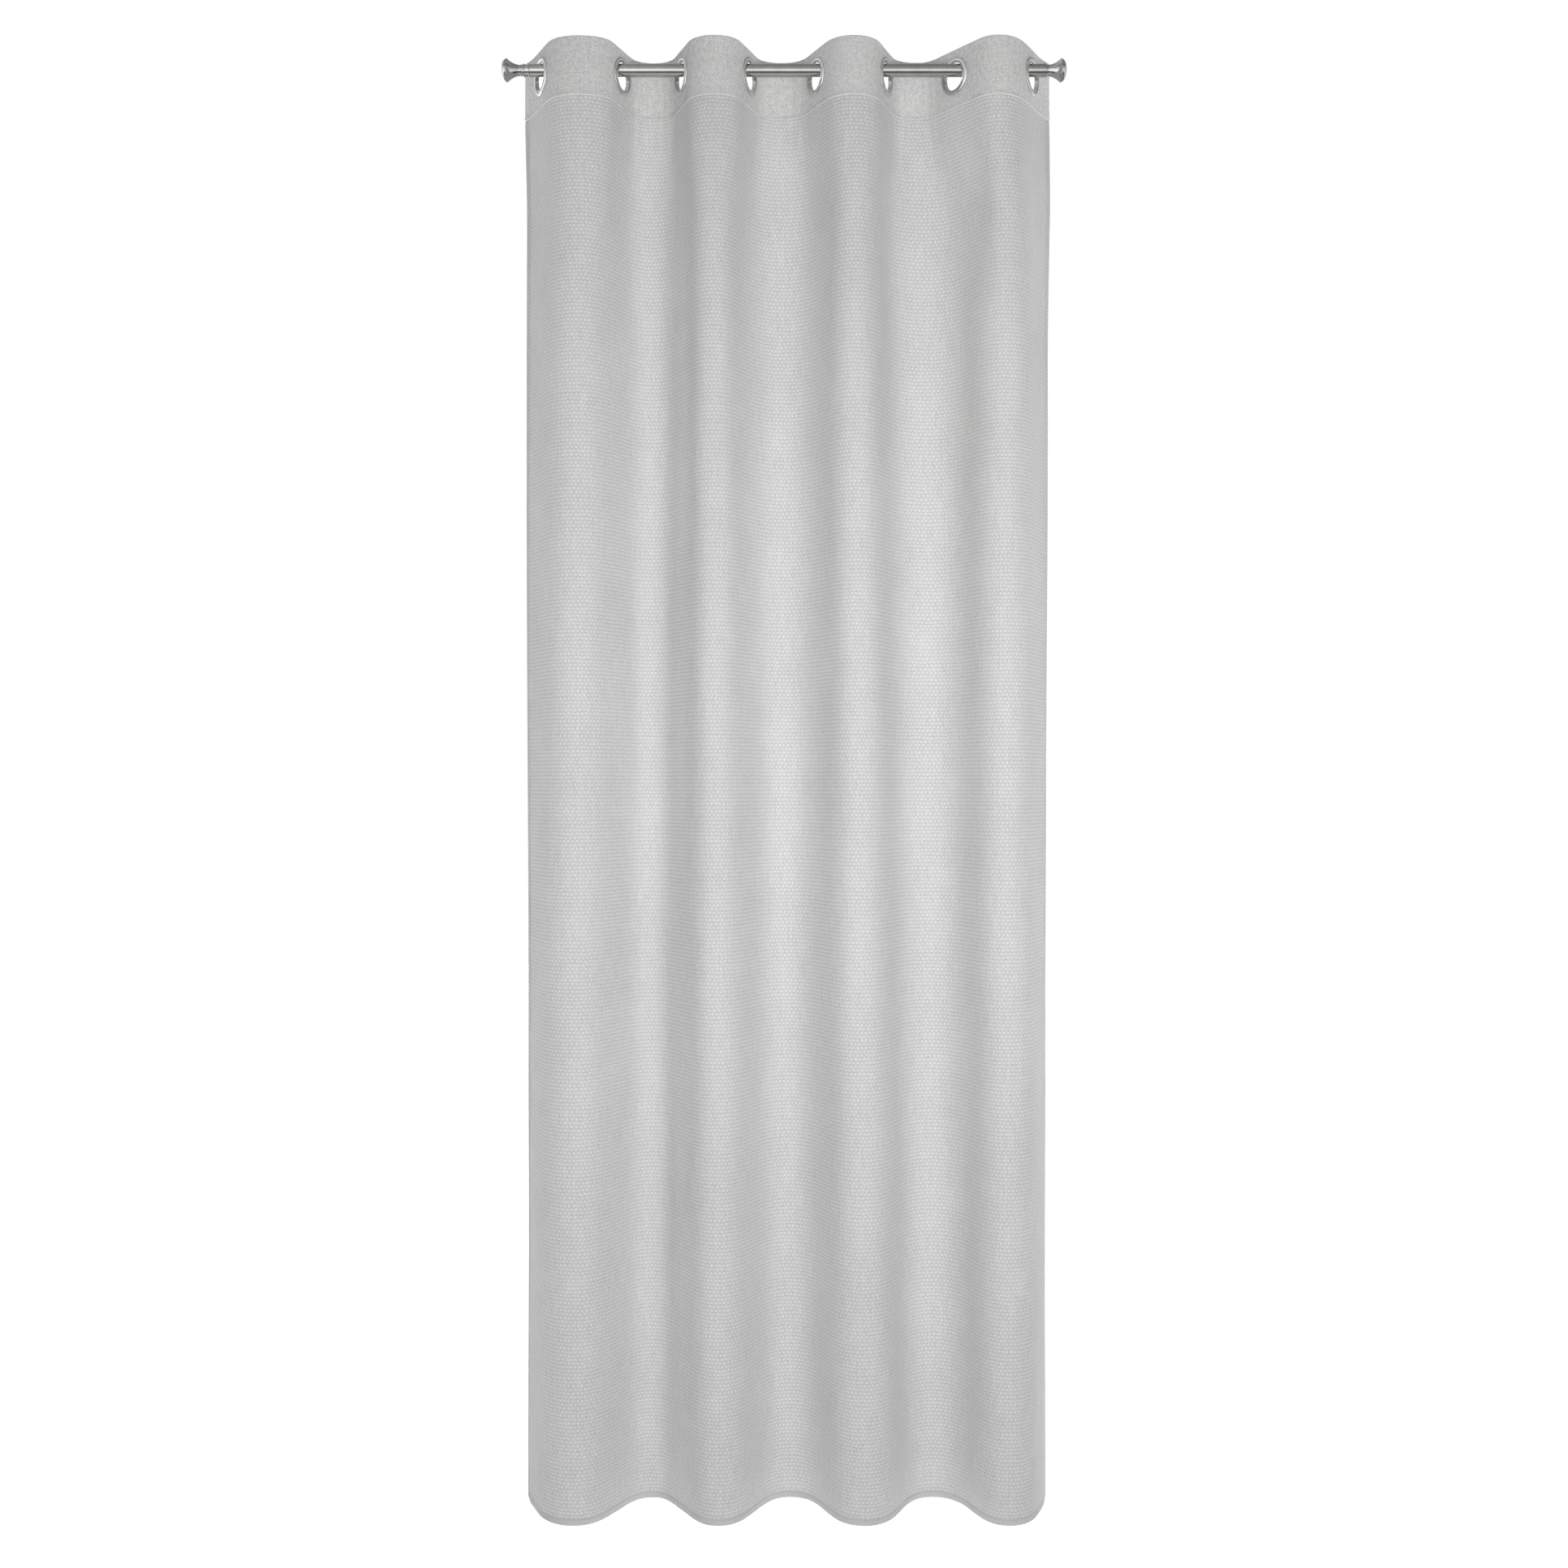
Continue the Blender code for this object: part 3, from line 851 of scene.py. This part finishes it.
def moulded(name, value):
    """Plain plastic with a fine moulded grain."""
    n = Nodes(name)
    place = n.add("ShaderNodeTexCoord").outputs["Object"]
    grain = n.noise(place, 1800.0, 2.0)
    colour = n.ramp(grain, (0.2, grey(value * 0.8)), (0.8, grey(value * 1.2)))
    n.link(colour, n.shader.inputs["Base Color"])
    n.link(n.math("MULTIPLY_ADD", grain, 0.15, 0.5), n.shader.inputs["Roughness"])
    n.link(n.bump(grain, 0.2, 0.0002), n.shader.inputs["Normal"])
    return n.material


HEADING_LENGTH = run_along(heading_section())[-1]
CLOTH = woven("curtain_weave", 0.0035, 0.0063, 0.42, 0.91, 0.002, 0.22, 0.42, 1.0, (0.004, 0.040))
# The heading's weave carries the painted highlight along its lower edges
BAND = woven(
    "heading_weave", 0.0028, 0.0033, 0.40, 0.99, 0.004, 0.26, 0.34, 2.4, (0.006, 0.009), HEADING_LENGTH
)
# Painted light: the hem's colours are set lighter than the body cloth's, to make up for the light from
# behind that its two layers let through less
HEM_CLOTH_PAINTED_LIGHT = woven("hem_weave_painted_light", 0.0022, 0.0030, 0.60, 1.00, 0.002, 0.20, 0.42, 1.3, (0.003, 0.006))
THREAD = thread()
NICKEL = metal("satin_nickel", 0.56, 0.78, 0.18, 0.008, 500.0, 0.06)
BRUSHED = metal("brushed_rod", 0.38, 0.58, 0.12, 0.016, 1.0, 0.04, (14.0, 1900.0, 1900.0))
CHROME = metal("finial_chrome", 0.42, 0.56, 0.06, 0.0, 300.0, 0.01)
PLASTIC = moulded("plug_plastic", 0.08)


def finish_with(obj, material):
    """Give a piece its one material."""
    obj.data.materials.clear()
    obj.data.materials.append(material)
    return obj


# Build the cloth


def bend_with_fold(obj):
    """Bake the piece's placement into its mesh; the piece is not bent with the fold."""
    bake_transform(obj)


def make_fold(k):
    """One fold's panel, heading, hems and stitches."""
    number = k + 1
    first, last = column_range(k)
    heights = np.linspace(HEADING_LOW + TUCK, CLOTH_BOTTOM + HEM_THICKNESS / 2, PANEL_ROWS)
    panel = grid_mesh(f"cloth_fold_{number}", heights, [0.0] * len(heights), first, last)
    solid = panel.modifiers.new("cloth_thickness", "SOLIDIFY")
    solid.thickness = PANEL_THICKNESS
    solid.offset = 0.0
    solid.use_rim = False
    finish_with(panel, CLOTH)

    heading = section_piece(f"heading_fold_{number}", heading_section(), k, outside_eyelets)
    finish_with(heading, BAND)
    hem = section_piece(f"bottom_hem_{number}", hem_section(), k)
    finish_with(hem, HEM_CLOTH_PAINTED_LIGHT)
    threads = finish_with(stitching(k), THREAD)

    nodes = [number] + ([EYELETS] if k == FOLDS - 1 else [])
    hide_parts(*[f"cloth_panel_{i}" for i in nodes])
    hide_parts(*[f"heading_band_{i}" for i in nodes])
    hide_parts(*[f"heading_stiffener_{i}" for i in nodes])
    extras = [hem, threads]
    if k == 0:
        extras.append(finish_with(side_hem("side_hem_left", True), HEM_CLOTH_PAINTED_LIGHT))
    if k == FOLDS - 1:
        extras.append(finish_with(side_hem("side_hem_right", False), HEM_CLOTH_PAINTED_LIGHT))
    for obj in [panel, heading] + extras:
        bend_with_fold(obj)


# Build the metal


def make_rod():
    rod = turned("rod", rod_profile(), ROD_SIDES, True)
    rod.rotation_euler = (0, math.radians(90), 0)
    finish_with(rod, BRUSHED)
    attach(rod, "rod")
    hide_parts("rod_tube")


def make_eyelet(k):
    number = k + 1
    face = turned(f"eyelet_face_ring_{number}", face_ring_profile(), RING_SIDES, True)
    back = turned(f"eyelet_back_ring_{number}", back_ring_profile(), RING_SIDES, True)
    for obj, node in ((face, f"eyelet_face_{number}"), (back, f"eyelet_back_{number}")):
        place_ring(obj, k)
        finish_with(obj, NICKEL)
        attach(obj, f"leaf_{number}")
        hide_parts(node)


def make_finial(side_name, side):
    """One finial's turned pieces; side is -1 on the left and 1 on the right."""
    body = f"finial_{side_name}"

    def add(kind, profile):
        node = f"finial_{kind}_{side_name}"
        low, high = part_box(node)
        obj = turned(f"{side_name}_{kind}", profile, FINIAL_SIDES, False)
        lay_along(obj, low[0] if side > 0 else high[0], side)
        finish_with(obj, CHROME)
        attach(obj, body)
        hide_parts(node)

    trumpet = f"finial_trumpet_{side_name}"
    cap = f"finial_cap_{side_name}"
    collar = f"finial_collar_{side_name}"
    add("trumpet", trumpet_profile(length_of(trumpet), FINIAL_NECK, radius_of(trumpet)))
    add("cap", cap_profile(length_of(cap), radius_of(cap)))
    if collar in frame["nodes"]:
        add("collar", collar_profile(length_of(collar), radius_of(collar)))
    plug = frame["nodes"][f"finial_plug_{side_name}"]
    plug.data.materials.clear()
    plug.data.materials.append(PLASTIC)


for fold in range(FOLDS):
    make_fold(fold)
make_rod()
for eyelet in range(EYELETS):
    make_eyelet(eyelet)
make_finial("left", -1)
make_finial("right", 1)


# Room, light and camera

CAMERA_DISTANCE = 3.10
CAMERA_HEIGHT = -1.2205
CAMERA_X = -0.0068
VIEW_WIDTH = 2.6826
SENSOR = 36.0
FLOOR_Z = CLOTH_BOTTOM - 0.25
FLOOR_FADE = 0.35
BACKGROUND_WHITE = 1.05
FLOOR_REACH = 12.0
FLOOR_GLOW = 0.86
SOFT_LIGHT = 2.0
ROOM_LIGHT = 0.01
SIDE_LIGHT = 0.02
BACKDROP_LIGHT = 0.83
STRIPS_LEFT = 1.35
STRIPS_RIGHT = 0.85
STRIPS_SPREAD = 0.15
KEY_PLACE = (0.42, -2.0, CAMERA_HEIGHT + 0.15)
KEY_POWER = 32
LEFT_PLACE = (-2.0, -1.2, CAMERA_HEIGHT + 0.15)
LEFT_POWER = 6
LIGHT_SIZE = (0.8, 0.8)
# What the metal reflects, as (direction's Z, brightness)
REFLECTED_STRIPS = (
    (-1.00, 0.62),
    (-0.92, 0.50),
    (-0.86, 0.24),
    (-0.70, 0.08),
    (-0.56, 0.16),
    (-0.42, 1.30),
    (-0.16, 1.50),
    (0.16, 0.85),
    (0.38, 0.75),
    (0.50, 0.26),
    (0.62, 0.32),
    (0.80, 0.55),
    (0.96, 0.28),
)


def make_floor():
    """A pale floor that brightens to white behind the curtain, like the foot of a lit backdrop."""
    corners = [(-FLOOR_REACH, -FLOOR_REACH, 0), (FLOOR_REACH, -FLOOR_REACH, 0)]
    corners += [(FLOOR_REACH, FLOOR_REACH, 0), (-FLOOR_REACH, FLOOR_REACH, 0)]
    floor = mesh_object("floor", corners, [(0, 1, 2, 3)])
    floor.location.z = FLOOR_Z
    n = Nodes("pale_floor")
    place = n.add("ShaderNodeTexCoord").outputs["Object"]
    cloud = n.noise(place, 1.5, 2.0)
    n.link(n.ramp(cloud, (0.3, grey(0.88)), (0.7, grey(0.92))), n.shader.inputs["Base Color"])
    split = n.add("ShaderNodeSeparateXYZ")
    n.link(place, split.inputs[0])
    lit = n.add("ShaderNodeMapRange", interpolation_type="SMOOTHSTEP")
    n.link(split.outputs["Y"], lit.inputs["Value"])
    lit.inputs["From Min"].default_value = 0.0
    lit.inputs["From Max"].default_value = FLOOR_FADE
    lit.inputs["To Max"].default_value = FLOOR_GLOW
    n.shader.inputs["Emission Color"].default_value = (1, 1, 1, 1)
    n.link(lit.outputs["Result"], n.shader.inputs["Emission Strength"])
    n.shader.inputs["Roughness"].default_value = 0.85
    floor.data.materials.append(n.material)
    floor.visible_glossy = False


def area_light(name, place, aim, size, power):
    """A soft light that the metal doesn't mirror."""
    data = bpy.data.lights.new(name, "AREA")
    data.shape = "RECTANGLE"
    data.size, data.size_y = size
    data.energy = power
    light = bpy.data.objects.new(name, data)
    light.location = place
    light.rotation_euler = (Vector(aim) - Vector(place)).to_track_quat("-Z", "Y").to_euler()
    light.visible_glossy = False
    bpy.context.scene.collection.objects.link(light)


def set_ramp(node, stops):
    """Grey stops for a colour ramp, as (position, value) pairs."""
    elements = node.color_ramp.elements
    while len(elements) < len(stops):
        elements.new(0.5)
    for element, (position, value) in zip(elements, stops):
        element.position = position
        element.color = (value, value, value, 1)


def make_world():
    """A lit white backdrop behind the curtain, a dim studio in front, and strip lights for the metal."""
    world = bpy.data.worlds.new("studio")
    world.use_nodes = True
    tree = world.node_tree
    nodes = tree.nodes
    links = tree.links
    direction = nodes.new("ShaderNodeTexCoord").outputs["Generated"]
    split = nodes.new("ShaderNodeSeparateXYZ")
    links.new(direction, split.inputs[0])

    soft = nodes["Background"]
    around = nodes.new("ShaderNodeMapRange")
    links.new(split.outputs["Y"], around.inputs["Value"])
    around.inputs["From Min"].default_value = -1.0
    shade = nodes.new("ShaderNodeValToRGB")
    links.new(around.outputs["Result"], shade.inputs["Fac"])
    set_ramp(shade, ((0.25, ROOM_LIGHT), (0.50, SIDE_LIGHT), (0.75, BACKDROP_LIGHT)))
    links.new(shade.outputs["Color"], soft.inputs["Color"])
    soft.inputs["Strength"].default_value = SOFT_LIGHT

    strips = nodes.new("ShaderNodeBackground")
    ramp = nodes.new("ShaderNodeValToRGB")
    height = nodes.new("ShaderNodeMapRange")
    links.new(split.outputs["Z"], height.inputs["Value"])
    height.inputs["From Min"].default_value = -1.0
    links.new(height.outputs["Result"], ramp.inputs["Fac"])
    set_ramp(ramp, [((z + 1) / 2, value) for z, value in REFLECTED_STRIPS])
    links.new(ramp.outputs["Color"], strips.inputs["Color"])
    sideways = nodes.new("ShaderNodeMapRange")
    links.new(split.outputs["X"], sideways.inputs["Value"])
    sideways.inputs["From Min"].default_value = -STRIPS_SPREAD
    sideways.inputs["From Max"].default_value = STRIPS_SPREAD
    sideways.inputs["To Min"].default_value = STRIPS_LEFT
    sideways.inputs["To Max"].default_value = STRIPS_RIGHT
    links.new(sideways.outputs["Result"], strips.inputs["Strength"])

    white = nodes.new("ShaderNodeBackground")
    white.inputs["Color"].default_value = (1, 1, 1, 1)
    white.inputs["Strength"].default_value = BACKGROUND_WHITE

    path = nodes.new("ShaderNodeLightPath")
    glossy = nodes.new("ShaderNodeMixShader")
    links.new(path.outputs["Is Glossy Ray"], glossy.inputs["Fac"])
    links.new(soft.outputs[0], glossy.inputs[1])
    links.new(strips.outputs[0], glossy.inputs[2])
    seen = nodes.new("ShaderNodeMixShader")
    links.new(path.outputs["Is Camera Ray"], seen.inputs["Fac"])
    links.new(glossy.outputs[0], seen.inputs[1])
    links.new(white.outputs[0], seen.inputs[2])
    links.new(seen.outputs[0], nodes["World Output"].inputs["Surface"])
    bpy.context.scene.world = world


def make_camera():
    data = bpy.data.cameras.new("camera")
    data.sensor_width = SENSOR
    data.lens = SENSOR * CAMERA_DISTANCE / VIEW_WIDTH
    camera = bpy.data.objects.new("camera", data)
    camera.location = (CAMERA_X, -CAMERA_DISTANCE, CAMERA_HEIGHT)
    camera.rotation_euler = (math.radians(90), 0, 0)
    bpy.context.scene.collection.objects.link(camera)
    bpy.context.scene.camera = camera


make_floor()
make_world()
MIDDLE = (0, 0, CAMERA_HEIGHT)
area_light("key", KEY_PLACE, MIDDLE, LIGHT_SIZE, KEY_POWER)
area_light("left", LEFT_PLACE, MIDDLE, LIGHT_SIZE, LEFT_POWER)
make_camera()
bpy.context.scene.view_settings.view_transform = "Standard"
